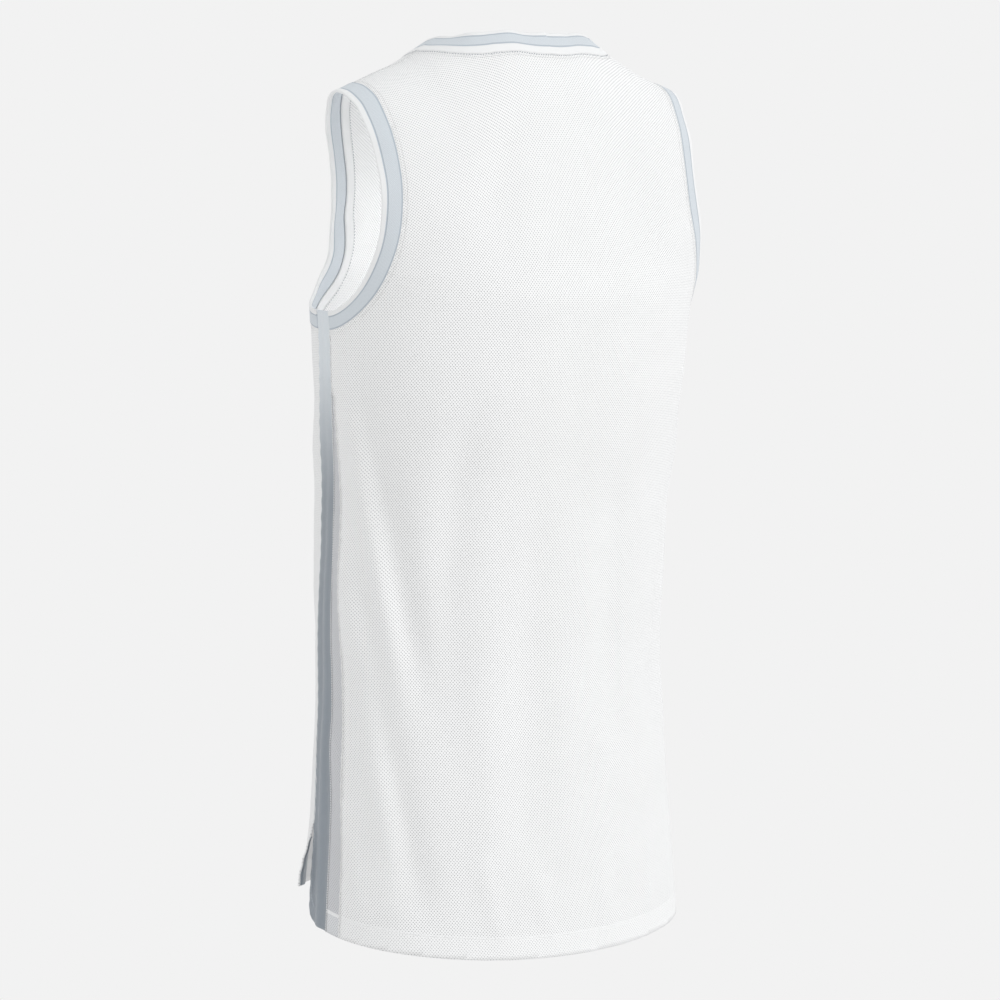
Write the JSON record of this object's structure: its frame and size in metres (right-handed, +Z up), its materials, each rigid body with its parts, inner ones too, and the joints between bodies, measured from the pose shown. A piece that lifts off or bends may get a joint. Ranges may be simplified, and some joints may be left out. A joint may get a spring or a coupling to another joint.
{
  "type": "basketball jersey",
  "caption": "White mesh basketball jersey, worn and hollow, with grey striped ribbed bands, satin side stripes and side slits.",
  "frame": {"origin": "between the two points where the shoulders meet the neck, at the height where the wearer's shoulders hold the jersey up", "axes": "+Z up along the body, +Y out of the back, +X towards the wearer's left"},
  "size_m": [0.3721, 0.2406, 0.801],
  "materials": {
    "mesh_white": "matte open mesh knit",
    "rib_band": "matte rib knit, grey with white edges",
    "stripe_grey": "soft satin plain knit"
  },
  "bodies": {
    "root": {"back_panel": "mesh_white", "front_panel": "mesh_white", "neck_band": "rib_band", "left_armhole_band": "rib_band", "right_armhole_band": "rib_band", "left_side_stripe": "stripe_grey", "right_side_stripe": "stripe_grey", "left_side_gusset": "mesh_white", "right_side_gusset": "mesh_white"}
  },
  "joints": []
}
